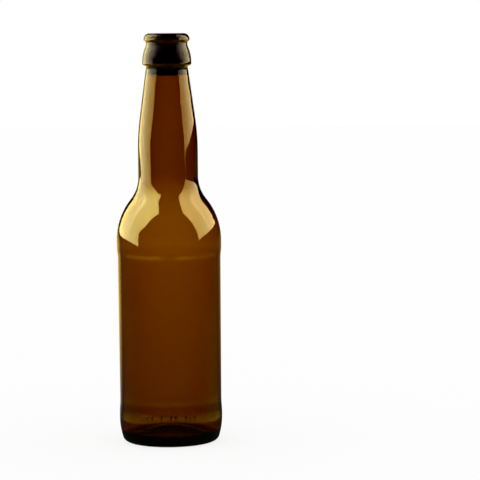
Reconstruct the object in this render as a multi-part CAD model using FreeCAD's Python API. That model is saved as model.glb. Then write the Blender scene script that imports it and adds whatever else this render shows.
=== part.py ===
"""Long-neck beer bottle of 0.33 litre in brown glass, empty and without a cap.

One solid turned about +Z. The origin is the centre of the ring that the bottle stands on. Sizes in mm.
Both faces of the glass are outlines of straight runs and arcs that meet at tangents, so that a radius,
a height or a wall can change and its neighbours follow.
"""
import FreeCAD, Part
import math
import os

# ---- overall sizes ----
TOTAL_HEIGHT = 236.0
SHOULDER_RADIUS = 30.1        # the widest band, which touches the next bottle on a filling line
LOWER_NECK_RADIUS = 17.15
NECK_TOP_RADIUS = 11.85       # outside, just under the collar

# ---- foot and heel, heights from the ground ----
PUSH_UP_HEIGHT = 4.5          # rise of the underside at its centre
RING_WIDTH = 3.5              # flat ring that the bottle stands on
RING_INNER_EDGE_RADIUS = 2.0  # rounding between the push-up and the ring
FOOT_CORNER_RADIUS = 4.0      # rounding outside the ring
HEEL_SETBACK = 0.38           # the heel band stands this far inside the widest band
HEEL_BAND_HEIGHT = 14.5       # where the heel reaches its full width
HEEL_SWEEP_RADIUS = 42.0

# ---- label panel, a shallow recess with a soft step at each end ----
PANEL_FOOT_RECESS = 0.42      # below the heel band
PANEL_TOP_RECESS = 0.5        # below the widest band
LOWER_STEP_START = 16.5
LOWER_STEP_LENGTH = 8.0
UPPER_STEP_LENGTH = 7.0

# ---- shoulder and neck, heights down from the lip's top ----
SHOULDER_DROP = 119.0         # to where the shoulder leaves the widest band
BAND_LENGTH = 3.5             # straight part of the widest band
SHOULDER_SWEEP_RADIUS = 38.0
NECK_FOOT_SWEEP_RADIUS = 20.0
NECK_CORNER_DROP = 58.0       # to where the upright neck and the drawn-in neck would meet in a corner
NECK_BEND_REACH = 10.0        # the bend in place of that corner reaches this far up and down from it

# ---- crown finish: collar, groove and lip ----
LIP_RADIUS = 13.15
LIP_EDGE_RADIUS = 0.5
LIP_SIDE_HEIGHT = 0.4
LIP_UNDERSIDE_ANGLE = 43.0    # degrees from the horizontal
LIP_FLAT_WIDTH = 0.3          # flat ring on top of the lip
GROOVE_RADIUS = 11.9
GROOVE_LENGTH = 1.2           # straight part of the groove
GROOVE_FILLET_RADIUS = 0.6
COLLAR_RADIUS = 14.05
COLLAR_DROP = 19.0            # from the lip's top down to the collar's underside
COLLAR_EDGE_RADIUS = 1.1
COLLAR_SIDE_HEIGHT = 0.8
COLLAR_UNDERSIDE_ANGLE = 25.0  # degrees from the horizontal
COLLAR_HOLLOW_RADIUS = 2.0    # hollow curve that runs up into the groove

# ---- inside ----
MOUTH_RADIUS = 8.3
MOUTH_EDGE_RADIUS = 1.25
BORE_END_RADIUS = 7.8         # narrowest, at the lower end of the moulded finish
BORE_DEPTH = 21.8             # from the lip's top down to where the bore opens
BORE_STEP_LENGTH = 2.4        # the bore opens out to the neck over this height
UPPER_NECK_WALL = 2.5
LOWER_NECK_WALL = 2.4
SHOULDER_WALL = 1.65
PANEL_TOP_WALL = 1.9
PANEL_FOOT_WALL = 2.35
INNER_HEEL_RADIUS = 3.2
INNER_HEEL_HEIGHT = 8.2       # where the inner wall starts to turn in
FLOOR_DOME_RADIUS = 80.0

# ---- raised code dots round the heel ----
DOT_PLACES = (-6, -5, -4, -2, 0, 1, 3, 4, 5, 10, 11)   # places along the row that hold a dot
DOT_SPACING = 2.8             # along the heel, from place to place
DOT_RADIUS = 0.6
DOT_RELIEF = 0.3
DOT_RISE = 1.4                # above the start of the lower step

FRONT = -90.0                 # direction of -Y, in degrees from +X
TOUCH = 1e-6                  # ends of edges closer than this are one point


def point(radius, height):
    """A point of the outline, in the XZ plane."""
    return FreeCAD.Vector(radius, 0.0, height)


def on_circle(centre, radius, angle):
    """The point of a circle in the XZ plane at an angle in degrees from +X towards +Z."""
    turn = math.radians(angle)
    return point(centre[0] + radius * math.cos(turn), centre[1] + radius * math.sin(turn))


class Outline:
    """Edges laid end to end. Each one starts where the last one stopped."""

    def __init__(self, start):
        self.edges = []
        self.end = start

    def line_to(self, target):
        self.edges.append(Part.makeLine(self.end, target))
        self.end = target

    def arc(self, centre, radius, start_angle, end_angle):
        """An arc about a centre. A straight edge joins it to what came before, where they don't meet."""
        start = on_circle(centre, radius, start_angle)
        if start.distanceToPoint(self.end) > TOUCH:
            self.line_to(start)
        middle = on_circle(centre, radius, (start_angle + end_angle) / 2)
        target = on_circle(centre, radius, end_angle)
        self.edges.append(Part.Arc(self.end, middle, target).toShape())
        self.end = target


def curve_rise(radius_change, first_radius, second_radius):
    """Height over which two opposite arcs change a radius, upright at both ends and tangent between."""
    reach = first_radius + second_radius
    return math.sqrt(reach ** 2 - (reach - abs(radius_change)) ** 2)


def double_curve(outline, low, high, low_radius, high_radius):
    """Two opposite arcs between an upright end at low and one at high, each a (radius, height) pair.

    The outline takes them upwards. The height of high has to be that of low plus curve_rise().
    """
    inward = 1.0 if high[0] < low[0] else -1.0
    low_centre = (low[0] - inward * low_radius, low[1])
    high_centre = (high[0] + inward * high_radius, high[1])
    turn = math.degrees(math.asin((high[1] - low[1]) / (low_radius + high_radius)))
    if inward > 0:
        outline.arc(low_centre, low_radius, 0.0, turn)
        outline.arc(high_centre, high_radius, 180.0 + turn, 180.0)
    else:
        outline.arc(low_centre, low_radius, 180.0, 180.0 - turn)
        outline.arc(high_centre, high_radius, -turn, 0.0)


def step_radius(depth, length):
    """Radius of the two equal arcs of a soft step of a given depth and length."""
    return (length ** 2 + depth ** 2) / (4.0 * depth)


def drawn_in_neck(outline, radius, target):
    """An upright run at a radius that bends in and goes on straight to target, a (radius, height) pair."""
    slant = math.atan2(radius - target[0], target[1] - NECK_CORNER_HEIGHT)
    bend_radius = NECK_BEND_REACH / math.tan(slant / 2.0)
    bend_centre = (radius - bend_radius, NECK_CORNER_HEIGHT - NECK_BEND_REACH)
    outline.arc(bend_centre, bend_radius, 0.0, math.degrees(slant))
    outline.line_to(point(target[0], target[1]))


# ---- places that follow from the sizes above ----
HEEL_BAND_RADIUS = SHOULDER_RADIUS - HEEL_SETBACK
PANEL_FOOT_RADIUS = HEEL_BAND_RADIUS - PANEL_FOOT_RECESS
PANEL_TOP_RADIUS = SHOULDER_RADIUS - PANEL_TOP_RECESS
SHOULDER_START = TOTAL_HEIGHT - SHOULDER_DROP
BAND_FOOT_HEIGHT = SHOULDER_START - BAND_LENGTH
PANEL_TOP_HEIGHT = BAND_FOOT_HEIGHT - UPPER_STEP_LENGTH
NECK_CORNER_HEIGHT = TOTAL_HEIGHT - NECK_CORNER_DROP
COLLAR_FOOT_HEIGHT = TOTAL_HEIGHT - COLLAR_DROP
BORE_END_HEIGHT = TOTAL_HEIGHT - BORE_DEPTH
LIP_ROUND_RADIUS = LIP_RADIUS - LIP_FLAT_WIDTH - MOUTH_EDGE_RADIUS - MOUTH_RADIUS


def outer_foot():
    """Push-up, standing ring and heel, as the start of the outer outline."""
    sweep_reach = HEEL_SWEEP_RADIUS - FOOT_CORNER_RADIUS
    sweep_centre = (HEEL_BAND_RADIUS - HEEL_SWEEP_RADIUS, HEEL_BAND_HEIGHT)
    corner_turn = math.asin((HEEL_BAND_HEIGHT - FOOT_CORNER_RADIUS) / sweep_reach)
    ring_outer_radius = sweep_centre[0] + sweep_reach * math.cos(corner_turn)
    ring_inner_radius = ring_outer_radius - RING_WIDTH

    edge = RING_INNER_EDGE_RADIUS
    dome_rise = ring_inner_radius ** 2 + PUSH_UP_HEIGHT ** 2 - 2.0 * edge * PUSH_UP_HEIGHT
    dome_radius = dome_rise / (2.0 * PUSH_UP_HEIGHT)
    dome_centre = (0.0, PUSH_UP_HEIGHT - dome_radius)
    dome_edge_angle = math.degrees(math.acos(ring_inner_radius / (dome_radius + edge)))

    outline = Outline(point(0.0, PUSH_UP_HEIGHT))
    outline.arc(dome_centre, dome_radius, 90.0, dome_edge_angle)
    outline.arc((ring_inner_radius, edge), edge, dome_edge_angle + 180.0, 270.0)
    corner_centre = (ring_outer_radius, FOOT_CORNER_RADIUS)
    outline.arc(corner_centre, FOOT_CORNER_RADIUS, -90.0, -math.degrees(corner_turn))
    outline.arc(sweep_centre, HEEL_SWEEP_RADIUS, -math.degrees(corner_turn), 0.0)
    return outline


def outer_panel(outline):
    """Heel band, lower step, label panel, upper step and widest band."""
    curve = step_radius(PANEL_FOOT_RECESS, LOWER_STEP_LENGTH)
    heel_end = (HEEL_BAND_RADIUS, LOWER_STEP_START)
    panel_foot = (PANEL_FOOT_RADIUS, LOWER_STEP_START + LOWER_STEP_LENGTH)
    double_curve(outline, heel_end, panel_foot, curve, curve)
    curve = step_radius(PANEL_TOP_RECESS, UPPER_STEP_LENGTH)
    panel_top = (PANEL_TOP_RADIUS, PANEL_TOP_HEIGHT)
    double_curve(outline, panel_top, (SHOULDER_RADIUS, BAND_FOOT_HEIGHT), curve, curve)


def outer_neck(outline):
    """Shoulder, lower neck and the drawn-in neck up to the collar."""
    rise = curve_rise(SHOULDER_RADIUS - LOWER_NECK_RADIUS, SHOULDER_SWEEP_RADIUS, NECK_FOOT_SWEEP_RADIUS)
    band_top = (SHOULDER_RADIUS, SHOULDER_START)
    neck_foot = (LOWER_NECK_RADIUS, SHOULDER_START + rise)
    double_curve(outline, band_top, neck_foot, SHOULDER_SWEEP_RADIUS, NECK_FOOT_SWEEP_RADIUS)
    drawn_in_neck(outline, LOWER_NECK_RADIUS, (NECK_TOP_RADIUS, COLLAR_FOOT_HEIGHT))


def outer_finish(outline):
    """Collar, groove and lip of a crown finish, up to the highest point of the lip."""
    slope = math.radians(COLLAR_UNDERSIDE_ANGLE)
    edge_radius = COLLAR_RADIUS - COLLAR_EDGE_RADIUS
    corner_reach = edge_radius + COLLAR_EDGE_RADIUS * math.sin(slope) - NECK_TOP_RADIUS
    edge_height = COLLAR_FOOT_HEIGHT + corner_reach * math.tan(slope) + COLLAR_EDGE_RADIUS * math.cos(slope)
    outline.arc((edge_radius, edge_height), COLLAR_EDGE_RADIUS, COLLAR_UNDERSIDE_ANGLE - 90.0, 0.0)

    lip_centre_height = TOTAL_HEIGHT - LIP_ROUND_RADIUS
    lip_edge = (LIP_RADIUS - LIP_EDGE_RADIUS, lip_centre_height - LIP_SIDE_HEIGHT)
    lip_slope = math.radians(LIP_UNDERSIDE_ANGLE)
    underside_end = on_circle(lip_edge, LIP_EDGE_RADIUS, LIP_UNDERSIDE_ANGLE - 90.0)
    underside_start_radius = GROOVE_RADIUS + GROOVE_FILLET_RADIUS * (1.0 - math.sin(lip_slope))
    underside_fall = (underside_end.x - underside_start_radius) * math.tan(lip_slope)
    fillet_height = underside_end.z - underside_fall - GROOVE_FILLET_RADIUS * math.cos(lip_slope)

    side_top = edge_height + COLLAR_SIDE_HEIGHT
    crown_rise = fillet_height - GROOVE_LENGTH - side_top
    crown_depth = COLLAR_RADIUS - GROOVE_RADIUS
    crown_radius = (crown_rise ** 2 + crown_depth ** 2) / (2.0 * crown_depth) - COLLAR_HOLLOW_RADIUS
    groove_foot = (GROOVE_RADIUS, side_top + crown_rise)
    double_curve(outline, (COLLAR_RADIUS, side_top), groove_foot, crown_radius, COLLAR_HOLLOW_RADIUS)

    fillet_centre = (GROOVE_RADIUS + GROOVE_FILLET_RADIUS, fillet_height)
    outline.arc(fillet_centre, GROOVE_FILLET_RADIUS, 180.0, 90.0 + LIP_UNDERSIDE_ANGLE)
    outline.arc(lip_edge, LIP_EDGE_RADIUS, LIP_UNDERSIDE_ANGLE - 90.0, 0.0)
    outline.arc((LIP_RADIUS - LIP_ROUND_RADIUS, lip_centre_height), LIP_ROUND_RADIUS, 0.0, 90.0)


def inner_foot():
    """Floor and inner heel, as the start of the inner outline."""
    foot_radius = PANEL_FOOT_RADIUS - PANEL_FOOT_WALL
    top_radius = PANEL_TOP_RADIUS - PANEL_TOP_WALL
    lean = math.atan2(top_radius - foot_radius, PANEL_TOP_HEIGHT - INNER_HEEL_HEIGHT)
    heel_centre_radius = foot_radius - INNER_HEEL_RADIUS * math.cos(lean)
    heel_centre_height = INNER_HEEL_HEIGHT + INNER_HEEL_RADIUS * math.sin(lean)
    reach = FLOOR_DOME_RADIUS + INNER_HEEL_RADIUS
    dome_centre_height = heel_centre_height - math.sqrt(reach ** 2 - heel_centre_radius ** 2)
    dome_edge_angle = math.degrees(math.acos(heel_centre_radius / reach))

    outline = Outline(point(0.0, dome_centre_height + FLOOR_DOME_RADIUS))
    outline.arc((0.0, dome_centre_height), FLOOR_DOME_RADIUS, 90.0, dome_edge_angle)
    heel_centre = (heel_centre_radius, heel_centre_height)
    outline.arc(heel_centre, INNER_HEEL_RADIUS, dome_edge_angle - 180.0, -math.degrees(lean))
    return outline


def inner_body(outline):
    """Inner wall and inner shoulder, up to the neck."""
    top_radius = PANEL_TOP_RADIUS - PANEL_TOP_WALL
    band_radius = SHOULDER_RADIUS - SHOULDER_WALL
    curve = step_radius(band_radius - top_radius, UPPER_STEP_LENGTH)
    double_curve(outline, (top_radius, PANEL_TOP_HEIGHT), (band_radius, BAND_FOOT_HEIGHT), curve, curve)

    neck_radius = LOWER_NECK_RADIUS - LOWER_NECK_WALL
    shoulder_curve = SHOULDER_SWEEP_RADIUS - SHOULDER_WALL
    neck_curve = NECK_FOOT_SWEEP_RADIUS + LOWER_NECK_WALL
    rise = curve_rise(band_radius - neck_radius, shoulder_curve, neck_curve)
    neck_foot = (neck_radius, SHOULDER_START + rise)
    double_curve(outline, (band_radius, SHOULDER_START), neck_foot, shoulder_curve, neck_curve)


def inner_neck(outline):
    """Inner neck, the step where the moulded finish ends, and the bore up to the lip's highest point."""
    step_foot_height = BORE_END_HEIGHT - BORE_STEP_LENGTH
    narrowing = (LOWER_NECK_RADIUS - NECK_TOP_RADIUS) / (COLLAR_FOOT_HEIGHT - NECK_CORNER_HEIGHT)
    outer_radius = NECK_TOP_RADIUS + (COLLAR_FOOT_HEIGHT - step_foot_height) * narrowing
    step_foot = (outer_radius - UPPER_NECK_WALL, step_foot_height)
    drawn_in_neck(outline, LOWER_NECK_RADIUS - LOWER_NECK_WALL, step_foot)
    curve = step_radius(step_foot[0] - BORE_END_RADIUS, BORE_STEP_LENGTH)
    double_curve(outline, step_foot, (BORE_END_RADIUS, BORE_END_HEIGHT), curve, curve)

    mouth_centre = (MOUTH_RADIUS + MOUTH_EDGE_RADIUS, TOTAL_HEIGHT - MOUTH_EDGE_RADIUS)
    outline.arc(mouth_centre, MOUTH_EDGE_RADIUS, 180.0, 90.0)


def turned_glass():
    """The glass: up the outside, over the lip and down the inside, turned about the axis."""
    outside = outer_foot()
    outer_panel(outside)
    outer_neck(outside)
    outer_finish(outside)

    inside = inner_foot()
    floor_centre = inside.edges[0].valueAt(inside.edges[0].FirstParameter)
    inner_body(inside)
    inner_neck(inside)

    lip_flat = Part.makeLine(outside.end, inside.end)
    axis_edge = Part.makeLine(floor_centre, point(0.0, PUSH_UP_HEIGHT))
    edges = Part.__sortEdges__(outside.edges + [lip_flat] + inside.edges + [axis_edge])
    section = Part.Face(Part.Wire(edges))
    return section.revolve(FreeCAD.Vector(0, 0, 0), FreeCAD.Vector(0, 0, 1), 360)


def code_dots():
    """Low round dots in a row on the lower step, some places left out, as a mould's code."""
    curve = step_radius(PANEL_FOOT_RECESS, LOWER_STEP_LENGTH)
    surface_radius = HEEL_BAND_RADIUS - curve + math.sqrt(curve ** 2 - DOT_RISE ** 2)
    ball_radius = (DOT_RADIUS ** 2 + DOT_RELIEF ** 2) / (2.0 * DOT_RELIEF)
    ball_centre_radius = surface_radius + DOT_RELIEF - ball_radius
    dots = []
    for place in DOT_PLACES:
        angle = math.radians(FRONT) + place * DOT_SPACING / surface_radius
        centre = FreeCAD.Vector(
            ball_centre_radius * math.cos(angle),
            ball_centre_radius * math.sin(angle),
            LOWER_STEP_START + DOT_RISE,
        )
        dots.append(Part.makeSphere(ball_radius, centre))
    return dots


def bottle():
    """The turned glass with its raised dots, as one solid."""
    glass = turned_glass().fuse(code_dots())
    return glass.Solids[0]


os.makedirs("parts", exist_ok=True)
bottle().exportStep("parts/bottle.step")
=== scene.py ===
"""Looks of an empty long-neck beer bottle in brown glass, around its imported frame. Metres, +Z up."""
import math

import bpy
import numpy as np
from mathutils import Matrix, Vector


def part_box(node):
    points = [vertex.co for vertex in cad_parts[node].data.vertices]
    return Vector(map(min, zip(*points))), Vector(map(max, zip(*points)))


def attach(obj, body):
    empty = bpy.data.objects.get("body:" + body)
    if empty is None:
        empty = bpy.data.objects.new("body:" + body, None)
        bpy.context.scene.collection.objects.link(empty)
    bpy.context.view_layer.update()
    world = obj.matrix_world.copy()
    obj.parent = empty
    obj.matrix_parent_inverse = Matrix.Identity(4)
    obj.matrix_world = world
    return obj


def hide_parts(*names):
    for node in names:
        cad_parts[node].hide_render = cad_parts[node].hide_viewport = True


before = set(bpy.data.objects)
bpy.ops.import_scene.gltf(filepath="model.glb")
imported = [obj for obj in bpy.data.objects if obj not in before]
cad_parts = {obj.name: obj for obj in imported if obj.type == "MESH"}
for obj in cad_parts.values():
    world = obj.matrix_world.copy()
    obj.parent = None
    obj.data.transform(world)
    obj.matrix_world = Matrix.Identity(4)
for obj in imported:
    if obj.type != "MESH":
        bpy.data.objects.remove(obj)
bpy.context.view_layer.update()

MM = 0.001

# ---- overall sizes, from the frame ----
low_corner, high_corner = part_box("bottle")
TOTAL_HEIGHT = high_corner.z
SHOULDER_RADIUS = (high_corner.x - low_corner.x) / 2

# ---- outside of the glass ----
LOWER_NECK_RADIUS = 17.15 * MM
NECK_TOP_RADIUS = 11.85 * MM
PUSH_UP_HEIGHT = 4.5 * MM
RING_WIDTH = 3.5 * MM
RING_INNER_EDGE_RADIUS = 2.0 * MM
FOOT_CORNER_RADIUS = 4.0 * MM
HEEL_SETBACK = 0.38 * MM
HEEL_BAND_HEIGHT = 14.5 * MM
HEEL_SWEEP_RADIUS = 42.0 * MM
PANEL_FOOT_RECESS = 0.42 * MM
PANEL_TOP_RECESS = 0.5 * MM
LOWER_STEP_START = 16.5 * MM
LOWER_STEP_LENGTH = 8.0 * MM
UPPER_STEP_LENGTH = 7.0 * MM
SHOULDER_DROP = 119.0 * MM
BAND_LENGTH = 3.5 * MM
SHOULDER_SWEEP_RADIUS = 38.0 * MM
NECK_FOOT_SWEEP_RADIUS = 20.0 * MM
NECK_CORNER_DROP = 58.0 * MM
NECK_BEND_REACH = 10.0 * MM

# ---- crown finish ----
LIP_RADIUS = 13.15 * MM
LIP_EDGE_RADIUS = 0.5 * MM
LIP_SIDE_HEIGHT = 0.4 * MM
LIP_UNDERSIDE_ANGLE = math.radians(43.0)
LIP_FLAT_WIDTH = 0.3 * MM
GROOVE_RADIUS = 11.9 * MM
GROOVE_LENGTH = 1.2 * MM
GROOVE_FILLET_RADIUS = 0.6 * MM
COLLAR_RADIUS = 14.05 * MM
COLLAR_DROP = 19.0 * MM
COLLAR_EDGE_RADIUS = 1.1 * MM
COLLAR_SIDE_HEIGHT = 0.8 * MM
COLLAR_UNDERSIDE_ANGLE = math.radians(25.0)
COLLAR_HOLLOW_RADIUS = 2.0 * MM

# ---- inside of the glass ----
MOUTH_RADIUS = 8.3 * MM
MOUTH_EDGE_RADIUS = 1.25 * MM
BORE_END_RADIUS = 7.8 * MM
BORE_DEPTH = 21.8 * MM
BORE_STEP_LENGTH = 2.4 * MM
UPPER_NECK_WALL = 2.5 * MM
LOWER_NECK_WALL = 2.4 * MM
SHOULDER_WALL = 1.65 * MM
PANEL_TOP_WALL = 1.9 * MM
PANEL_FOOT_WALL = 2.35 * MM
INNER_HEEL_RADIUS = 3.2 * MM
INNER_HEEL_HEIGHT = 8.2 * MM
FLOOR_DOME_RADIUS = 80.0 * MM

# ---- relief of the mould ----
DOT_PLACES = (-6, -5, -4, -2, 0, 1, 3, 4, 5, 10, 11)
DOT_SPACING = 2.8 * MM
DOT_RADIUS = 0.6 * MM
DOT_RELIEF = 0.3 * MM
DOT_RISE = 1.4 * MM
SEAM_ANGLES = (0.0, math.pi)
SEAM_RELIEF = 0.09 * MM
SEAM_WIDTH = 0.35 * MM
KNURL_COUNT = 80
KNURL_DEPTH = 0.22 * MM
KNURL_INSET = 5.0 * MM                        # from the heel band's radius in to the knurling's middle
KNURL_REACH = 0.75 * RING_WIDTH
KNURL_TOP = 1.0 * MM
INNER_WAVE = 0.07 * MM
INNER_SINES = (                               # share, waves round, radians per metre up, phase
    (0.45, 2.0, 21.0, 0.7), (0.30, 3.0, -46.0, 2.1), (0.18, 5.0, 83.0, 4.0), (0.10, 9.0, -131.0, 0.0),
)
WAVE_FADE_RADIUS = 8.0 * MM
WAVE_FADE_LENGTH = 10.0 * MM

# ---- places that follow ----
FRONT = -math.pi / 2
HEEL_BAND_RADIUS = SHOULDER_RADIUS - HEEL_SETBACK
PANEL_FOOT_RADIUS = HEEL_BAND_RADIUS - PANEL_FOOT_RECESS
PANEL_TOP_RADIUS = SHOULDER_RADIUS - PANEL_TOP_RECESS
SHOULDER_START = TOTAL_HEIGHT - SHOULDER_DROP
BAND_FOOT_HEIGHT = SHOULDER_START - BAND_LENGTH
PANEL_TOP_HEIGHT = BAND_FOOT_HEIGHT - UPPER_STEP_LENGTH
NECK_CORNER_HEIGHT = TOTAL_HEIGHT - NECK_CORNER_DROP
COLLAR_FOOT_HEIGHT = TOTAL_HEIGHT - COLLAR_DROP
BORE_END_HEIGHT = TOTAL_HEIGHT - BORE_DEPTH
LIP_ROUND_RADIUS = LIP_RADIUS - LIP_FLAT_WIDTH - MOUTH_EDGE_RADIUS - MOUTH_RADIUS
DOT_HEIGHT = LOWER_STEP_START + DOT_RISE

# ---- fineness of the mesh ----
OUTER_STEP = 2.2 * MM
INNER_STEP = 3.4 * MM
ARC_STEP = math.radians(9.0)
COLUMNS = 220
DOT_COLUMNS = 9
DOT_REACH = 1.2                               # in radii of the dot
DOT_ROW_GAP = 0.3                             # in radii of the dot
SEAM_COLUMNS = 7
SEAM_REACH = 2.0                              # in widths of the seam
LEAST_COLUMN_GAP = 0.002                      # in radians
SAME_POINT = 1e-8


class Outline:
    """Points (radius, height) of an outline laid end to end from straight runs and arcs."""

    def __init__(self, start, step):
        self.points = [np.array([start])]
        self.end = np.array(start)
        self.step = step

    def line_to(self, target):
        """Evenly spaced points on the straight run from the end to target."""
        target = np.array(target)
        count = max(1, math.ceil(np.linalg.norm(target - self.end) / self.step))
        share = np.linspace(0.0, 1.0, count + 1)[1:, None]
        self.points.append(self.end + share * (target - self.end))
        self.end = target

    def arc(self, centre, radius, start_angle, end_angle):
        """Centre plus radius times (cos, sin) of evenly spaced angles, after a straight run to its start."""
        start = np.array(centre) + radius * np.array([math.cos(start_angle), math.sin(start_angle)])
        if np.linalg.norm(start - self.end) > SAME_POINT:
            self.line_to(start)
        turn = abs(end_angle - start_angle)
        count = max(2, math.ceil(turn / ARC_STEP), math.ceil(turn * radius / self.step))
        angle = np.linspace(start_angle, end_angle, count + 1)[1:]
        self.points.append(np.array(centre) + radius * np.stack([np.cos(angle), np.sin(angle)], axis=1))
        self.end = self.points[-1][-1]

    def array(self):
        return np.concatenate(self.points)


def curve_rise(radius_change, first_radius, second_radius):
    """Height over which two opposite tangent arcs change a radius, upright at both ends."""
    reach = first_radius + second_radius
    return math.sqrt(reach**2 - (reach - abs(radius_change)) ** 2)


def step_radius(depth, length):
    """Radius of the two equal arcs of a soft step of a given depth and length."""
    return (length**2 + depth**2) / (4.0 * depth)


def double_curve(outline, low, high, low_radius, high_radius):
    """Two opposite arcs between an upright end at low and one at high, meeting at a common tangent."""
    inward = 1.0 if high[0] < low[0] else -1.0
    low_centre = (low[0] - inward * low_radius, low[1])
    high_centre = (high[0] + inward * high_radius, high[1])
    turn = math.asin((high[1] - low[1]) / (low_radius + high_radius))
    if inward > 0:
        outline.arc(low_centre, low_radius, 0.0, turn)
        outline.arc(high_centre, high_radius, math.pi + turn, math.pi)
    else:
        outline.arc(low_centre, low_radius, math.pi, math.pi - turn)
        outline.arc(high_centre, high_radius, -turn, 0.0)


def drawn_in_neck(outline, radius, target):
    """An upright run at a radius, one tangent arc about the corner, and a straight run to target."""
    slant = math.atan2(radius - target[0], target[1] - NECK_CORNER_HEIGHT)
    bend_radius = NECK_BEND_REACH / math.tan(slant / 2.0)
    bend_centre = (radius - bend_radius, NECK_CORNER_HEIGHT - NECK_BEND_REACH)
    outline.arc(bend_centre, bend_radius, 0.0, slant)
    outline.line_to(target)


def outer_foot(outline_step):
    """Push-up, standing ring and heel, as the start of the outer outline."""
    sweep_reach = HEEL_SWEEP_RADIUS - FOOT_CORNER_RADIUS
    sweep_centre = (HEEL_BAND_RADIUS - HEEL_SWEEP_RADIUS, HEEL_BAND_HEIGHT)
    corner_turn = math.asin((HEEL_BAND_HEIGHT - FOOT_CORNER_RADIUS) / sweep_reach)
    ring_outer_radius = sweep_centre[0] + sweep_reach * math.cos(corner_turn)
    ring_inner_radius = ring_outer_radius - RING_WIDTH

    edge = RING_INNER_EDGE_RADIUS
    dome_rise = ring_inner_radius**2 + PUSH_UP_HEIGHT**2 - 2.0 * edge * PUSH_UP_HEIGHT
    dome_radius = dome_rise / (2.0 * PUSH_UP_HEIGHT)
    dome_edge_angle = math.acos(ring_inner_radius / (dome_radius + edge))

    outline = Outline((0.0, PUSH_UP_HEIGHT), outline_step)
    outline.arc((0.0, PUSH_UP_HEIGHT - dome_radius), dome_radius, math.pi / 2, dome_edge_angle)
    outline.arc((ring_inner_radius, edge), edge, dome_edge_angle + math.pi, 1.5 * math.pi)
    corner_centre = (ring_outer_radius, FOOT_CORNER_RADIUS)
    outline.arc(corner_centre, FOOT_CORNER_RADIUS, -math.pi / 2, -corner_turn)
    outline.arc(sweep_centre, HEEL_SWEEP_RADIUS, -corner_turn, 0.0)
    return outline


def outer_panel(outline):
    """Heel band, lower step, label panel, upper step and widest band."""
    curve = step_radius(PANEL_FOOT_RECESS, LOWER_STEP_LENGTH)
    panel_foot = (PANEL_FOOT_RADIUS, LOWER_STEP_START + LOWER_STEP_LENGTH)
    double_curve(outline, (HEEL_BAND_RADIUS, LOWER_STEP_START), panel_foot, curve, curve)
    curve = step_radius(PANEL_TOP_RECESS, UPPER_STEP_LENGTH)
    panel_top = (PANEL_TOP_RADIUS, PANEL_TOP_HEIGHT)
    double_curve(outline, panel_top, (SHOULDER_RADIUS, BAND_FOOT_HEIGHT), curve, curve)


def outer_neck(outline):
    """Shoulder, lower neck and the drawn-in neck up to the collar."""
    rise = curve_rise(SHOULDER_RADIUS - LOWER_NECK_RADIUS, SHOULDER_SWEEP_RADIUS, NECK_FOOT_SWEEP_RADIUS)
    band_top = (SHOULDER_RADIUS, SHOULDER_START)
    neck_foot = (LOWER_NECK_RADIUS, SHOULDER_START + rise)
    double_curve(outline, band_top, neck_foot, SHOULDER_SWEEP_RADIUS, NECK_FOOT_SWEEP_RADIUS)
    drawn_in_neck(outline, LOWER_NECK_RADIUS, (NECK_TOP_RADIUS, COLLAR_FOOT_HEIGHT))


def outer_finish(outline):
    """Collar, groove and lip of a crown finish, up to the highest point of the lip."""
    slope = COLLAR_UNDERSIDE_ANGLE
    edge_radius = COLLAR_RADIUS - COLLAR_EDGE_RADIUS
    corner_reach = edge_radius + COLLAR_EDGE_RADIUS * math.sin(slope) - NECK_TOP_RADIUS
    edge_height = COLLAR_FOOT_HEIGHT + corner_reach * math.tan(slope) + COLLAR_EDGE_RADIUS * math.cos(slope)
    outline.arc((edge_radius, edge_height), COLLAR_EDGE_RADIUS, slope - math.pi / 2, 0.0)

    lip_centre_height = TOTAL_HEIGHT - LIP_ROUND_RADIUS
    lip_edge = (LIP_RADIUS - LIP_EDGE_RADIUS, lip_centre_height - LIP_SIDE_HEIGHT)
    under_angle = LIP_UNDERSIDE_ANGLE - math.pi / 2
    underside_end = (
        lip_edge[0] + LIP_EDGE_RADIUS * math.cos(under_angle),
        lip_edge[1] + LIP_EDGE_RADIUS * math.sin(under_angle),
    )
    underside_start_radius = GROOVE_RADIUS + GROOVE_FILLET_RADIUS * (1.0 - math.sin(LIP_UNDERSIDE_ANGLE))
    underside_fall = (underside_end[0] - underside_start_radius) * math.tan(LIP_UNDERSIDE_ANGLE)
    fillet_height = underside_end[1] - underside_fall - GROOVE_FILLET_RADIUS * math.cos(LIP_UNDERSIDE_ANGLE)

    side_top = edge_height + COLLAR_SIDE_HEIGHT
    crown_rise = fillet_height - GROOVE_LENGTH - side_top
    crown_depth = COLLAR_RADIUS - GROOVE_RADIUS
    crown_radius = (crown_rise**2 + crown_depth**2) / (2.0 * crown_depth) - COLLAR_HOLLOW_RADIUS
    groove_foot = (GROOVE_RADIUS, side_top + crown_rise)
    double_curve(outline, (COLLAR_RADIUS, side_top), groove_foot, crown_radius, COLLAR_HOLLOW_RADIUS)

    fillet_centre = (GROOVE_RADIUS + GROOVE_FILLET_RADIUS, fillet_height)
    outline.arc(fillet_centre, GROOVE_FILLET_RADIUS, math.pi, math.pi / 2 + LIP_UNDERSIDE_ANGLE)
    outline.arc(lip_edge, LIP_EDGE_RADIUS, under_angle, 0.0)
    outline.arc((LIP_RADIUS - LIP_ROUND_RADIUS, lip_centre_height), LIP_ROUND_RADIUS, 0.0, math.pi / 2)


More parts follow.
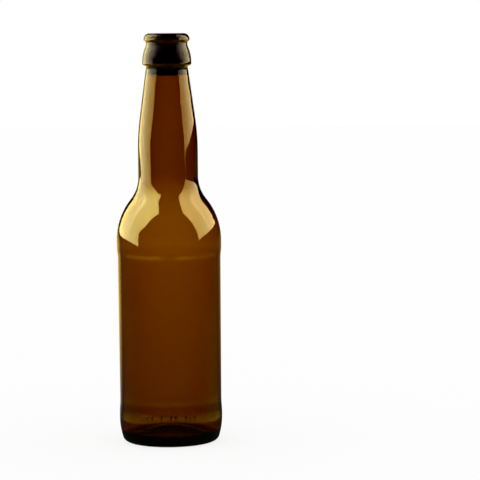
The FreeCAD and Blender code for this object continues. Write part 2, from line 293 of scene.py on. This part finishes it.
def inner_foot(outline_step):
    """Floor and inner heel, as the start of the inner outline."""
    foot_radius = PANEL_FOOT_RADIUS - PANEL_FOOT_WALL
    top_radius = PANEL_TOP_RADIUS - PANEL_TOP_WALL
    lean = math.atan2(top_radius - foot_radius, PANEL_TOP_HEIGHT - INNER_HEEL_HEIGHT)
    heel_centre_radius = foot_radius - INNER_HEEL_RADIUS * math.cos(lean)
    heel_centre_height = INNER_HEEL_HEIGHT + INNER_HEEL_RADIUS * math.sin(lean)
    reach = FLOOR_DOME_RADIUS + INNER_HEEL_RADIUS
    dome_centre_height = heel_centre_height - math.sqrt(reach**2 - heel_centre_radius**2)
    dome_edge_angle = math.acos(heel_centre_radius / reach)

    outline = Outline((0.0, dome_centre_height + FLOOR_DOME_RADIUS), outline_step)
    outline.arc((0.0, dome_centre_height), FLOOR_DOME_RADIUS, math.pi / 2, dome_edge_angle)
    heel_centre = (heel_centre_radius, heel_centre_height)
    outline.arc(heel_centre, INNER_HEEL_RADIUS, dome_edge_angle - math.pi, -lean)
    return outline


def inner_body(outline):
    """Inner wall and inner shoulder, up to the neck."""
    top_radius = PANEL_TOP_RADIUS - PANEL_TOP_WALL
    band_radius = SHOULDER_RADIUS - SHOULDER_WALL
    curve = step_radius(band_radius - top_radius, UPPER_STEP_LENGTH)
    double_curve(outline, (top_radius, PANEL_TOP_HEIGHT), (band_radius, BAND_FOOT_HEIGHT), curve, curve)

    neck_radius = LOWER_NECK_RADIUS - LOWER_NECK_WALL
    shoulder_curve = SHOULDER_SWEEP_RADIUS - SHOULDER_WALL
    neck_curve = NECK_FOOT_SWEEP_RADIUS + LOWER_NECK_WALL
    rise = curve_rise(band_radius - neck_radius, shoulder_curve, neck_curve)
    neck_foot = (neck_radius, SHOULDER_START + rise)
    double_curve(outline, (band_radius, SHOULDER_START), neck_foot, shoulder_curve, neck_curve)


def inner_neck(outline):
    """Inner neck, the step where the moulded finish ends, and the bore up to the lip's highest point."""
    step_foot_height = BORE_END_HEIGHT - BORE_STEP_LENGTH
    narrowing = (LOWER_NECK_RADIUS - NECK_TOP_RADIUS) / (COLLAR_FOOT_HEIGHT - NECK_CORNER_HEIGHT)
    outer_radius = NECK_TOP_RADIUS + (COLLAR_FOOT_HEIGHT - step_foot_height) * narrowing
    step_foot = (outer_radius - UPPER_NECK_WALL, step_foot_height)
    drawn_in_neck(outline, LOWER_NECK_RADIUS - LOWER_NECK_WALL, step_foot)
    curve = step_radius(step_foot[0] - BORE_END_RADIUS, BORE_STEP_LENGTH)
    double_curve(outline, step_foot, (BORE_END_RADIUS, BORE_END_HEIGHT), curve, curve)

    mouth_centre = (MOUTH_RADIUS + MOUTH_EDGE_RADIUS, TOTAL_HEIGHT - MOUTH_EDGE_RADIUS)
    outline.arc(mouth_centre, MOUTH_EDGE_RADIUS, math.pi, math.pi / 2)


def with_rows_near(profile, height, reach, spacing):
    """The outline with more points where its height is within reach, put in by linear interpolation."""
    along = np.concatenate([[0.0], np.cumsum(np.linalg.norm(np.diff(profile, axis=0), axis=1))])
    heights = profile[:, 1]
    near = np.flatnonzero(np.abs(heights - height) < reach)
    centre = np.interp(0.0, heights[near] - height, along[near])
    extra = centre + np.arange(-reach, reach + spacing / 2, spacing)
    kept = along[np.abs(along - centre) > reach + spacing / 2]
    places = np.sort(np.concatenate([kept, extra]))
    return np.stack([np.interp(places, along, profile[:, i]) for i in range(2)], axis=1)


def angle_between(first, second):
    """Angle between two azimuths, the short way round."""
    return np.abs((first - second + math.pi) % (2.0 * math.pi) - math.pi)


def dot_angles():
    """Azimuth of each code dot: the front plus place times spacing over the band's radius."""
    return FRONT + np.array(DOT_PLACES) * DOT_SPACING / HEEL_BAND_RADIUS


def column_angles():
    """Azimuths all round, evenly spaced, with closer ones across each code dot and each mould seam."""
    even = np.arange(COLUMNS) * 2.0 * math.pi / COLUMNS
    across_dot = np.linspace(-DOT_REACH, DOT_REACH, DOT_COLUMNS) * DOT_RADIUS / HEEL_BAND_RADIUS
    across_seam = np.linspace(-SEAM_REACH, SEAM_REACH, SEAM_COLUMNS) * SEAM_WIDTH / SHOULDER_RADIUS
    extra = [angle + across_dot for angle in dot_angles()]
    extra += [angle + across_seam for angle in SEAM_ANGLES]
    extra = np.concatenate(extra) % (2.0 * math.pi)
    gap = angle_between(even[:, None], extra[None, :])
    even = even[gap.min(axis=1) > LEAST_COLUMN_GAP]
    return np.unique(np.concatenate([even, extra]).round(7))


def dot_caps(radius, height, azimuth):
    """Share of a code dot's full height: 1 - (distance / radius)^2, not below nought.

    The distance is from the dot's middle, along the surface.
    """
    caps = np.zeros(np.broadcast(radius, azimuth).shape)
    for angle in dot_angles():
        away = angle_between(azimuth, angle) * radius
        caps = caps + np.clip(1.0 - (away**2 + (height - DOT_HEIGHT) ** 2) / DOT_RADIUS**2, 0.0, None)
    return caps


def mould_relief(radius, height, azimuth):
    """Outward relief of the outer face: the code dots and the mould seams.

    A seam's is its relief times exp(-(distance / width)^2), between the heel's corner and the collar.
    """
    relief = np.zeros(np.broadcast(radius, azimuth).shape)
    for seam in SEAM_ANGLES:
        away = angle_between(azimuth, seam) * radius
        relief = relief + SEAM_RELIEF * np.exp(-((away / SEAM_WIDTH) ** 2))
    relief = relief * (height > FOOT_CORNER_RADIUS) * (height < COLLAR_FOOT_HEIGHT)
    return relief + DOT_RELIEF * dot_caps(radius, height, azimuth)


def inner_wave(height, azimuth):
    """Faint unevenness of the blown inner face: a sum of slow sines round and up the wall."""
    wave = 0.0
    for share, around, along, phase in INNER_SINES:
        wave = wave + share * np.sin(around * azimuth + along * height + phase)
    return INNER_WAVE * wave


def knurl(radius, height, azimuth):
    """Rise of the valleys between the standing ring's bars.

    Depth times sin^2(count * azimuth / 2), times 1 - (distance from the ring's middle / reach)^2, times
    1 - height / top, with neither share below nought.
    """
    ring_middle = HEEL_BAND_RADIUS - KNURL_INSET
    across = np.clip(1.0 - ((radius - ring_middle) / KNURL_REACH) ** 2, 0.0, 1.0)
    low = np.clip(1.0 - height / KNURL_TOP, 0.0, 1.0)
    return KNURL_DEPTH * across * low * np.sin(azimuth * KNURL_COUNT / 2.0) ** 2


def turned_surface(radius, height, azimuth):
    """Mesh of the closed surface (radius cos azimuth, radius sin azimuth, height), rows by columns.

    The first and the last row are on the axis, and each becomes one point with a fan of triangles.
    """
    rows, columns = radius.shape
    x = radius * np.cos(azimuth)
    y = radius * np.sin(azimuth)
    ring_points = np.stack([x, y, height], axis=-1)[1:-1].reshape(-1, 3)
    poles = np.array([[0.0, 0.0, height[0, 0]], [0.0, 0.0, height[-1, 0]]])
    points = np.concatenate([ring_points, poles])

    column = np.arange(columns)
    following = (column + 1) % columns
    row = np.arange(rows - 3)[:, None]
    quads = np.stack(
        [row * columns + column, row * columns + following,
         (row + 1) * columns + following, (row + 1) * columns + column],
        axis=-1,
    ).reshape(-1, 4)
    last_ring = (rows - 3) * columns
    first_pole = np.full(columns, len(ring_points))
    first_fan = np.stack([first_pole, following, column], axis=-1)
    last_fan = np.stack([first_pole + 1, last_ring + column, last_ring + following], axis=-1)
    mesh = bpy.data.meshes.new("bottle_glass")
    mesh.from_pydata(points.tolist(), [], quads.tolist() + first_fan.tolist() + last_fan.tolist())
    mesh.shade_smooth()
    return mesh


def mark_dots(mesh, caps):
    """An attribute of painted shade on the code dots: how much of a code dot each point has, grown steeply to
    1.
    """
    shade = np.zeros(len(mesh.vertices))
    shade[:len(caps)] = np.minimum(DOT_SHADE_GAIN * caps, 1.0)
    mesh.attributes.new("dot_painted_shade", "FLOAT", "POINT").data.foreach_set("value", shade)


def bottle_glass():
    """The whole glass: the outer outline up, the inner one down, turned round with its relief."""
    outside = outer_foot(OUTER_STEP)
    outer_panel(outside)
    outer_neck(outside)
    outer_finish(outside)
    inside = inner_foot(INNER_STEP)
    inner_body(inside)
    inner_neck(inside)

    rows = with_rows_near(outside.array(), DOT_HEIGHT, DOT_REACH * DOT_RADIUS, DOT_ROW_GAP * DOT_RADIUS)
    out_radius, out_height = np.hsplit(rows, 2)
    in_radius, in_height = np.hsplit(inside.array()[::-1], 2)
    azimuth = column_angles()[None, :]

    off_axis = np.clip(in_radius / WAVE_FADE_RADIUS, 0.0, 1.0)
    below_finish = np.clip((COLLAR_FOOT_HEIGHT - in_height) / WAVE_FADE_LENGTH, 0.0, 1.0)
    radius = np.concatenate([
        out_radius + mould_relief(out_radius, out_height, azimuth) * (out_radius > 0.0),
        in_radius + inner_wave(in_height, azimuth) * (off_axis * below_finish),
    ])
    height = np.concatenate([
        out_height + knurl(out_radius, out_height, azimuth),
        in_height + 0.0 * azimuth,
    ])
    mesh = turned_surface(radius, height, azimuth)
    mark_dots(mesh, dot_caps(out_radius, out_height, azimuth)[1:].ravel())
    piece = bpy.data.objects.new("bottle_glass", mesh)
    bpy.context.scene.collection.objects.link(piece)
    return piece


# ---- brown glass ----
GLASS_INDEX = 1.52
ABSORB_DENSITY = 2500.0
ABSORB_COLOUR = (0.804, 0.648, 0.08, 1.0)     # with the density: 490, 880 and 2300 per metre of R, G and B
# painted shade that darkens the code dots, mixed into the glass's colour by their attribute
DOT_PAINTED_SHADE = (0.08, 0.06, 0.05, 1.0)
DOT_SHADE_GAIN = 4.0
WAVE_SCALE = 140.0
WAVE_STRENGTH = 0.05
WAVE_DEPTH = 0.2 * MM
SCUFF_SCALE = 900.0
SCUFF_ROUGHNESS = 0.05
THICK_GLASS_HEIGHT = BORE_END_HEIGHT - BORE_STEP_LENGTH + 0.3 * MM    # above this the wall is far thicker


def band(low, high, colour):
    """Two stops that hold one colour from low to high."""
    return (low, colour), (high, colour)


# Height and tint of the reflections, from the ground up: painted reflections, with golden painted highlights
# and darker painted bands by height. They are tuned to this studio and can show as zones in another.
PAINTED_SHEENS = (
    (0.0192, (1.0, 0.75, 0.3)),
    *band(0.0200, 0.0237, (0.1, 0.05, 0.02)),
    *band(0.0243, 0.0262, (1.0, 0.75, 0.3)),
    *band(0.0275, 0.1076, (0.4, 0.3, 0.12)),
    *band(0.1083, 0.1099, (1.0, 0.78, 0.3)),
    *band(0.1105, 0.1125, (0.1, 0.08, 0.03)),
    (0.1145, (1.0, 0.92, 0.36)), (0.142, (1.0, 0.92, 0.38)),
    (0.150, (0.5, 0.37, 0.06)), (THICK_GLASS_HEIGHT, (0.46, 0.33, 0.05)),
    *band(THICK_GLASS_HEIGHT + 0.4 * MM, COLLAR_FOOT_HEIGHT + 0.4 * MM, (0.05, 0.06, 0.14)),
    *band(COLLAR_FOOT_HEIGHT + 1.0 * MM, COLLAR_FOOT_HEIGHT + 1.8 * MM, (0.8, 0.4, 0.1)),
    *band(COLLAR_FOOT_HEIGHT + 2.2 * MM, TOTAL_HEIGHT - 5.4 * MM, (0.0, 0.0, 0.04)),
    *band(TOTAL_HEIGHT - 4.8 * MM, TOTAL_HEIGHT - 3.2 * MM, (1.0, 0.65, 0.12)),
    (TOTAL_HEIGHT - 2.7 * MM, (0.0, 0.0, 0.04)),
)
# Height and tint of the light that goes through: painted shade on the finish, which stands in for the depth
# of the thick glass.
PAINTED_SHADE_BY_HEIGHT = (
    (THICK_GLASS_HEIGHT - 0.3 * MM, (1.0, 1.0, 1.0)), (THICK_GLASS_HEIGHT, (0.33, 0.33, 0.33)),
)


def node(tree, kind, **settings):
    """A new node with its settings, where a name with in_ before it sets an input's value."""
    made = tree.nodes.new(kind)
    for name, value in settings.items():
        if name.startswith("in_"):
            made.inputs[name[3:].replace("_", " ")].default_value = value
        else:
            setattr(made, name, value)
    return made


def new_material(name):
    """An empty material, as (material, node tree, output node)."""
    material = bpy.data.materials.new(name)
    material.use_nodes = True
    tree = material.node_tree
    tree.nodes.clear()
    return material, tree, node(tree, "ShaderNodeOutputMaterial")


def ramp(tree, source, low, high, stops):
    """Colours along a value, from (value, colour) stops between low and high, mixed straight in between."""
    place = node(tree, "ShaderNodeMapRange", in_From_Min=low, in_From_Max=high)
    colours = node(tree, "ShaderNodeValToRGB")
    marks = colours.color_ramp.elements
    while len(marks) < len(stops):
        marks.new(0.5)
    for mark, (value, _) in zip(marks, stops):
        mark.position = (value - low) / (high - low)
    for mark, (_, colour) in zip(marks, stops):
        mark.color = (*colour, 1.0)
    tree.links.new(source, place.inputs["Value"])
    tree.links.new(place.outputs["Result"], colours.inputs["Fac"])
    return colours.outputs["Color"]


def brown_glass():
    """Brown container glass: a clear surface with faint waves, and colour from absorption in the wall.

    Its reflections are tinted by height as painted highlights, and the finish and the code dots get painted
    shade.
    """
    material, tree, out = new_material("brown_glass")
    link = tree.links.new
    glass = node(tree, "ShaderNodeBsdfPrincipled", in_IOR=GLASS_INDEX, in_Transmission_Weight=1.0)
    place = node(tree, "ShaderNodeTexCoord")
    axes = node(tree, "ShaderNodeSeparateXYZ")
    link(place.outputs["Object"], axes.inputs["Vector"])

    # reflections tinted by height: painted highlights and painted dark bands
    link(ramp(tree, axes.outputs["Z"], 0.0, TOTAL_HEIGHT, PAINTED_SHEENS), glass.inputs["Specular Tint"])
    # painted shade: the code dots darkened, over the painted shade of the finish by height
    dots = node(tree, "ShaderNodeAttribute", attribute_name="dot_painted_shade")
    tint = node(tree, "ShaderNodeMix", data_type="RGBA")
    tint.inputs[7].default_value = DOT_PAINTED_SHADE
    link(dots.outputs["Fac"], tint.inputs[0])
    link(ramp(tree, axes.outputs["Z"], 0.0, TOTAL_HEIGHT, PAINTED_SHADE_BY_HEIGHT), tint.inputs[6])
    link(tint.outputs[2], glass.inputs["Base Color"])

    waves = node(tree, "ShaderNodeTexNoise", in_Scale=WAVE_SCALE, in_Detail=2.0)
    scuff = node(tree, "ShaderNodeTexNoise", in_Scale=SCUFF_SCALE, in_Detail=3.0)
    rough = node(tree, "ShaderNodeMapRange", in_To_Min=0.0, in_To_Max=SCUFF_ROUGHNESS)
    bump = node(tree, "ShaderNodeBump", in_Strength=WAVE_STRENGTH, in_Distance=WAVE_DEPTH)
    link(place.outputs["Object"], waves.inputs["Vector"])
    link(place.outputs["Object"], scuff.inputs["Vector"])
    link(scuff.outputs["Fac"], rough.inputs["Value"])
    link(waves.outputs["Fac"], bump.inputs["Height"])
    link(rough.outputs["Result"], glass.inputs["Roughness"])
    link(bump.outputs["Normal"], glass.inputs["Normal"])

    absorb = node(tree, "ShaderNodeVolumeAbsorption", in_Density=ABSORB_DENSITY)
    absorb.inputs["Color"].default_value = ABSORB_COLOUR
    link(glass.outputs["BSDF"], out.inputs["Surface"])
    link(absorb.outputs["Volume"], out.inputs["Volume"])
    return material


# ---- light panels beside the bottle ----
PANEL_DISTANCE = 0.6
LEFT_PANEL = (                                # how far behind the bottle and how high each corner is
    (-0.21, 0.062), (0.13, 0.1), (1.0, 0.12), (1.0, 1.62), (-0.75, 1.62),
    (-0.95, 1.3), (-0.42, 0.46), (-0.37, 0.37), (-0.28, 0.31), (-0.22, 0.24),
)
RIGHT_PANEL = (
    (-0.235, 0.112), (-0.2, 0.145), (0.15, 0.2), (0.60, 0.225), (0.57, 0.45), (0.45, 1.5),
    (-0.45, 1.5), (-0.60, 1.0), (-0.37, 0.5), (-0.29, 0.27),
)
LEFT_GLOW = (9.7, 11.4)                       # strengths at the two heights of PANEL_RISE
RIGHT_GLOW = (8.3, 9.3)
LEFT_COLOUR = (1.0, 0.88, 0.5)
RIGHT_COLOUR = (1.0, 0.78, 0.44)
PANEL_RISE = (0.25, 0.7)
PANEL_FADE = (                                # how far behind the bottle, and the tint there
    (0.15, (1.0, 1.0, 1.0)), (0.5, (0.75, 0.68, 0.5)), (0.9, (0.55, 0.47, 0.25)),
)
STREAK_STRETCH = (0.0, 9.0, 0.7)
STREAK_NOISE = (0.3, 0.7)                     # values of the noise that give the two of STREAK_DIMMING
STREAK_DIMMING = (0.75, 1.2)


def stage_mesh(name, points, faces):
    """A piece of the studio, which isn't part of the bottle."""
    mesh = bpy.data.meshes.new(name)
    mesh.from_pydata(points, [], faces)
    made = bpy.data.objects.new(name, mesh)
    bpy.context.scene.collection.objects.link(made)
    return made


def panel_light(name, glow_range, colour):
    """A glow that grows with height, with faint upright streaks."""
    material, tree, out = new_material(name)
    link = tree.links.new
    place = node(tree, "ShaderNodeTexCoord")
    axes = node(tree, "ShaderNodeSeparateXYZ")
    rise = node(
        tree, "ShaderNodeMapRange", interpolation_type="SMOOTHSTEP",
        in_From_Min=PANEL_RISE[0], in_From_Max=PANEL_RISE[1],
        in_To_Min=glow_range[0], in_To_Max=glow_range[1],
    )
    stretch = node(tree, "ShaderNodeVectorMath", operation="MULTIPLY")
    stretch.inputs[1].default_value = STREAK_STRETCH
    streaks = node(tree, "ShaderNodeTexNoise", in_Scale=1.0, in_Detail=2.0)
    dimming = node(
        tree, "ShaderNodeMapRange", in_From_Min=STREAK_NOISE[0], in_From_Max=STREAK_NOISE[1],
        in_To_Min=STREAK_DIMMING[0], in_To_Max=STREAK_DIMMING[1],
    )
    strength = node(tree, "ShaderNodeMath", operation="MULTIPLY")
    tint = node(tree, "ShaderNodeVectorMath", operation="MULTIPLY")
    tint.inputs[1].default_value = colour
    glow = node(tree, "ShaderNodeEmission")
    link(place.outputs["Object"], axes.inputs["Vector"])
    link(ramp(tree, axes.outputs["Y"], -1.0, 1.0, PANEL_FADE), tint.inputs[0])
    link(tint.outputs["Vector"], glow.inputs["Color"])
    link(place.outputs["Object"], stretch.inputs[0])
    link(stretch.outputs["Vector"], streaks.inputs["Vector"])
    link(axes.outputs["Z"], rise.inputs["Value"])
    link(streaks.outputs["Fac"], dimming.inputs["Value"])
    link(rise.outputs["Result"], strength.inputs[0])
    link(dimming.outputs["Result"], strength.inputs[1])
    link(strength.outputs["Value"], glow.inputs["Strength"])
    link(glow.outputs["Emission"], out.inputs["Surface"])
    return material


def panel(name, side, corners, glow_range, colour):
    """An upright light panel beside the bottle, seen by reflections alone."""
    points = [(side * PANEL_DISTANCE, behind, up) for behind, up in corners]
    made = stage_mesh(name, points, [tuple(range(len(points)))])
    made.data.materials.append(panel_light(name, glow_range, colour))
    made.visible_camera = False
    made.visible_transmission = False
    made.visible_diffuse = False
    made.visible_shadow = False


# ---- floor and table ----
# The floor is one thing to the eye, another through the glass with a painted shadow round the foot, and a
# golden table of painted light to reflections. A distance is from the bottle's axis, and a bearing in degrees
# from straight behind, to the right.
FLOOR_REACH = 4.0
FLOOR_PAINT = (0.95, 0.95, 0.95, 1.0)
FLOOR_GLOW_SHARE = 0.8
PAINTED_FOOT_SHADOW = (                                      # distance and glow of the floor through the glass: a painted shadow round the bottle's foot
    (0.034, (0.0, 0.0, 0.0)), (0.039, (0.15, 0.1, 0.03)), (0.043, (0.8, 0.75, 0.7)), (0.3, (0.8, 0.8, 0.8)),
    (0.7, (0.87, 0.87, 0.87)), (1.5, (0.95, 0.95, 0.95)),
)
BACK_BEARINGS = (                             # bearing and share of the table's glow
    (-100, 0.0), (-80, 0.15), (-50, 0.14), (-44, 0.16), (-38, 0.6), (-32, 1.0), (-4, 1.0), (4, 0.32),
    (26, 0.26), (34, 0.13), (60, 0.07), (80, 0.0),
)
BACK_TABLE = (                                # distance and glow, painted light with painted shade near the bottle
    (0.04, (0.02, 0.02, 0.02)), (0.09, (0.28, 0.28, 0.26)), (0.2, (0.42, 0.34, 0.22)),
    (0.37, (0.75, 0.5, 0.15)), (0.59, (1.15, 0.72, 0.12)), (1.1, (1.25, 0.8, 0.15)),
    (1.6, (0.9, 0.6, 0.14)), (2.2, (0.5, 0.36, 0.1)), (3.9, (0.1, 0.08, 0.04)),
)
FRONT_BEARINGS = ((-100, 1.0), (-80, 0.8), (-50, 0.0), (45, 0.0), (60, 0.5), (85, 1.2), (110, 1.0))
# distance and glow of the table in front, painted light with painted shade near the bottle
FRONT_TABLE = (
    (0.108, (0.02, 0.02, 0.01)), (0.122, (0.8, 0.6, 0.02)), (0.16, (0.7, 0.5, 0.0)), (0.2, (0.5, 0.4, 0.0)),
    (0.26, (0.25, 0.22, 0.0)), (0.4, (0.35, 0.25, 0.0)), (0.7, (0.3, 0.22, 0.0)), (0.95, (0.12, 0.08, 0.0)),
    (1.5, (0.1, 0.06, 0.0)), (3.0, (0.0, 0.0, 0.0)),
)
SIDE_SQUEEZE = 1.35                           # how much nearer the front table comes at the sides
SEE_THROUGH = ((0.12, (0.0, 0.0, 0.0)), (0.16, (1.0, 1.0, 1.0)))    # distance and clearness of the table


def reflection_share(tree):
    """1 for a ray that a surface has just reflected, and 0 for one that came through it or from the eye."""
    rays = node(tree, "ShaderNodeLightPath")
    through = node(tree, "ShaderNodeMath", operation="SUBTRACT", use_clamp=True)
    tree.links.new(rays.outputs["Is Glossy Ray"], through.inputs[0])
    tree.links.new(rays.outputs["Is Transmission Ray"], through.inputs[1])
    return through.outputs["Value"]


def by_bearing(tree, bearing, bearings, colour):
    """A colour dimmed by a bearing in degrees."""
    share = ramp(tree, bearing, -180.0, 180.0, [(turn, (dim, dim, dim)) for turn, dim in bearings])
    dimmed = node(tree, "ShaderNodeVectorMath", operation="MULTIPLY")
    tree.links.new(share, dimmed.inputs[0])
    tree.links.new(colour, dimmed.inputs[1])
    return dimmed.outputs["Vector"]


def place_axes(tree, output):
    """(Vector, its components' node, its bearing from +Y in degrees) of a texture coordinate."""
    place = node(tree, "ShaderNodeTexCoord").outputs[output]
    axes = node(tree, "ShaderNodeSeparateXYZ")
    turn = node(tree, "ShaderNodeMath", operation="ARCTAN2")
    bearing = node(tree, "ShaderNodeMath", operation="DEGREES")
    tree.links.new(place, axes.inputs["Vector"])
    tree.links.new(axes.outputs["X"], turn.inputs[0])
    tree.links.new(axes.outputs["Y"], turn.inputs[1])
    tree.links.new(turn.outputs["Value"], bearing.inputs[0])
    return place, axes, bearing.outputs["Value"]


def reflected_table(tree, place, distance, bearing):
    """The golden table of painted light that reflections see on the floor, with painted shade near the
    bottle.
    Away from the bottle it lets steep ones through.
    """
    back = by_bearing(tree, bearing, BACK_BEARINGS, ramp(tree, distance, 0.0, FLOOR_REACH, BACK_TABLE))
    squeeze = node(tree, "ShaderNodeVectorMath", operation="MULTIPLY")
    squeeze.inputs[1].default_value = (SIDE_SQUEEZE, 1.0, 0.0)
    squeezed = node(tree, "ShaderNodeVectorMath", operation="LENGTH")
    tree.links.new(place, squeeze.inputs[0])
    tree.links.new(squeeze.outputs["Vector"], squeezed.inputs[0])
    front_colour = ramp(tree, squeezed.outputs["Value"], 0.0, FLOOR_REACH, FRONT_TABLE)
    front = by_bearing(tree, bearing, FRONT_BEARINGS, front_colour)
    colour = node(tree, "ShaderNodeVectorMath", operation="ADD")
    glow = node(tree, "ShaderNodeEmission")
    clear = node(tree, "ShaderNodeBsdfTransparent")
    both = node(tree, "ShaderNodeAddShader")
    tree.links.new(back, colour.inputs[0])
    tree.links.new(front, colour.inputs[1])
    tree.links.new(colour.outputs["Vector"], glow.inputs["Color"])
    tree.links.new(ramp(tree, distance, 0.0, FLOOR_REACH, SEE_THROUGH), clear.inputs["Color"])
    tree.links.new(glow.outputs["Emission"], both.inputs[0])
    tree.links.new(clear.outputs["BSDF"], both.inputs[1])
    return both.outputs["Shader"]


def floor():
    """A wide white floor with the bottle's soft shadow.

    To the eye it's paint and glow. Through the glass it's a glow that fades into a brown pool of painted
    shadow round the bottle's foot, and to reflections it's a golden table of painted light, with painted
    shade near the bottle.
    """
    corners = [(-FLOOR_REACH, -FLOOR_REACH, 0), (FLOOR_REACH, -FLOOR_REACH, 0),
               (FLOOR_REACH, FLOOR_REACH, 0), (-FLOOR_REACH, FLOOR_REACH, 0)]
    made = stage_mesh("floor", corners, [(0, 1, 2, 3)])
    material, tree, out = new_material("floor_white")
    link = tree.links.new
    rays = node(tree, "ShaderNodeLightPath")

    paint = node(tree, "ShaderNodeBsdfDiffuse")
    paint.inputs["Color"].default_value = FLOOR_PAINT
    glow = node(tree, "ShaderNodeEmission")
    eye_share = node(tree, "ShaderNodeMath", operation="MULTIPLY")
    eye_share.inputs[1].default_value = FLOOR_GLOW_SHARE
    seen = node(tree, "ShaderNodeMixShader")
    link(rays.outputs["Is Camera Ray"], eye_share.inputs[0])
    link(eye_share.outputs["Value"], seen.inputs["Fac"])
    link(paint.outputs["BSDF"], seen.inputs[1])
    link(glow.outputs["Emission"], seen.inputs[2])

    place, _, bearing = place_axes(tree, "Object")
    away = node(tree, "ShaderNodeVectorMath", operation="LENGTH")
    pool = node(tree, "ShaderNodeEmission")
    through = node(tree, "ShaderNodeMixShader")
    either = node(tree, "ShaderNodeMixShader")
    link(place, away.inputs[0])
    link(ramp(tree, away.outputs["Value"], 0.0, FLOOR_REACH, PAINTED_FOOT_SHADOW), pool.inputs["Color"])
    link(rays.outputs["Is Transmission Ray"], through.inputs["Fac"])
    link(seen.outputs["Shader"], through.inputs[1])
    link(pool.outputs["Emission"], through.inputs[2])
    link(reflection_share(tree), either.inputs["Fac"])
    link(through.outputs["Shader"], either.inputs[1])
    link(reflected_table(tree, place, away.outputs["Value"], bearing), either.inputs[2])
    link(either.outputs["Shader"], out.inputs["Surface"])
    made.data.materials.append(material)


# ---- beyond the floor ----
# By the sine of a ray's slope: the glow that reflections see, and the dark band low behind the glass.
STEEP_BEARINGS = (
    (-172, 0.05), (-150, 1.0), (-100, 0.9), (-60, 0.7), (-40, 0.4), (40, 0.8), (60, 0.8), (80, 0.3),
    (120, 0.4), (150, 1.0), (172, 0.05),
)
STEEP_GLOW = (
    (-0.65, (0.0, 0.0, 0.0)), (-0.5, (1.0, 0.58, 0.06)), (-0.27, (1.6, 0.95, 0.1)), (-0.19, (0.0, 0.0, 0.0)),
)
BEHIND_GLASS = (
    (0.05, (1.0, 1.0, 1.0)), (0.1, (0.04, 0.04, 0.04)), (0.4, (0.04, 0.04, 0.04)), (0.6, (1.0, 1.0, 1.0)),
)


def studio_world():
    """White to the eye, with a dark band through the glass, and dark to reflections but for a steep glow."""
    world = bpy.data.worlds.new("studio")
    bpy.context.scene.world = world
    world.use_nodes = True
    tree = world.node_tree
    tree.nodes.clear()
    link = tree.links.new
    _, axes, bearing = place_axes(tree, "Generated")
    glass_view = ramp(tree, axes.outputs["Z"], -1.0, 1.0, BEHIND_GLASS)
    steep = by_bearing(tree, bearing, STEEP_BEARINGS, ramp(tree, axes.outputs["Z"], -1.0, 1.0, STEEP_GLOW))
    rays = node(tree, "ShaderNodeLightPath")
    through = node(tree, "ShaderNodeMix", data_type="RGBA")
    either = node(tree, "ShaderNodeMix", data_type="RGBA")
    sky = node(tree, "ShaderNodeBackground")
    out = node(tree, "ShaderNodeOutputWorld")
    through.inputs[6].default_value = (1.0, 1.0, 1.0, 1.0)
    link(rays.outputs["Is Transmission Ray"], through.inputs[0])
    link(glass_view, through.inputs[7])
    link(reflection_share(tree), either.inputs[0])
    link(through.outputs[2], either.inputs[6])
    link(steep, either.inputs[7])
    link(either.outputs[2], sky.inputs["Color"])
    link(sky.outputs["Background"], out.inputs["Surface"])


# ---- camera ----
CAMERA_PLACE = (0.0, -1.3, 0.241)
CAMERA_YAW = 1.81                             # the three turns in degrees
CAMERA_PITCH = -5.470
CAMERA_ROLL = -0.52
LENS = 169.3
SENSOR_WIDTH = 36.0
FARTHEST_SEEN = 50.0


def camera():
    """A long lens at about lip height, looking slightly down, with the bottle left of the middle."""
    data = bpy.data.cameras.new("camera")
    data.lens = LENS
    data.sensor_width = SENSOR_WIDTH
    data.clip_end = FARTHEST_SEEN
    made = bpy.data.objects.new("camera", data)
    bpy.context.scene.collection.objects.link(made)
    yaw = Matrix.Rotation(-math.radians(CAMERA_YAW), 4, "Z")
    pitch = Matrix.Rotation(math.pi / 2 + math.radians(CAMERA_PITCH), 4, "X")
    roll = Matrix.Rotation(math.radians(CAMERA_ROLL), 4, "Z")
    made.matrix_world = Matrix.Translation(CAMERA_PLACE) @ (yaw @ pitch @ roll)
    bpy.context.scene.camera = made


# ---- the bottle in its studio ----
glass = bottle_glass()
glass.data.materials.append(brown_glass())
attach(glass, "root")
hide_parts("bottle")

floor()
studio_world()
panel("panel_left", -1.0, LEFT_PANEL, LEFT_GLOW, LEFT_COLOUR)
panel("panel_right", 1.0, RIGHT_PANEL, RIGHT_GLOW, RIGHT_COLOUR)
camera()

bpy.context.scene.view_settings.view_transform = "Standard"
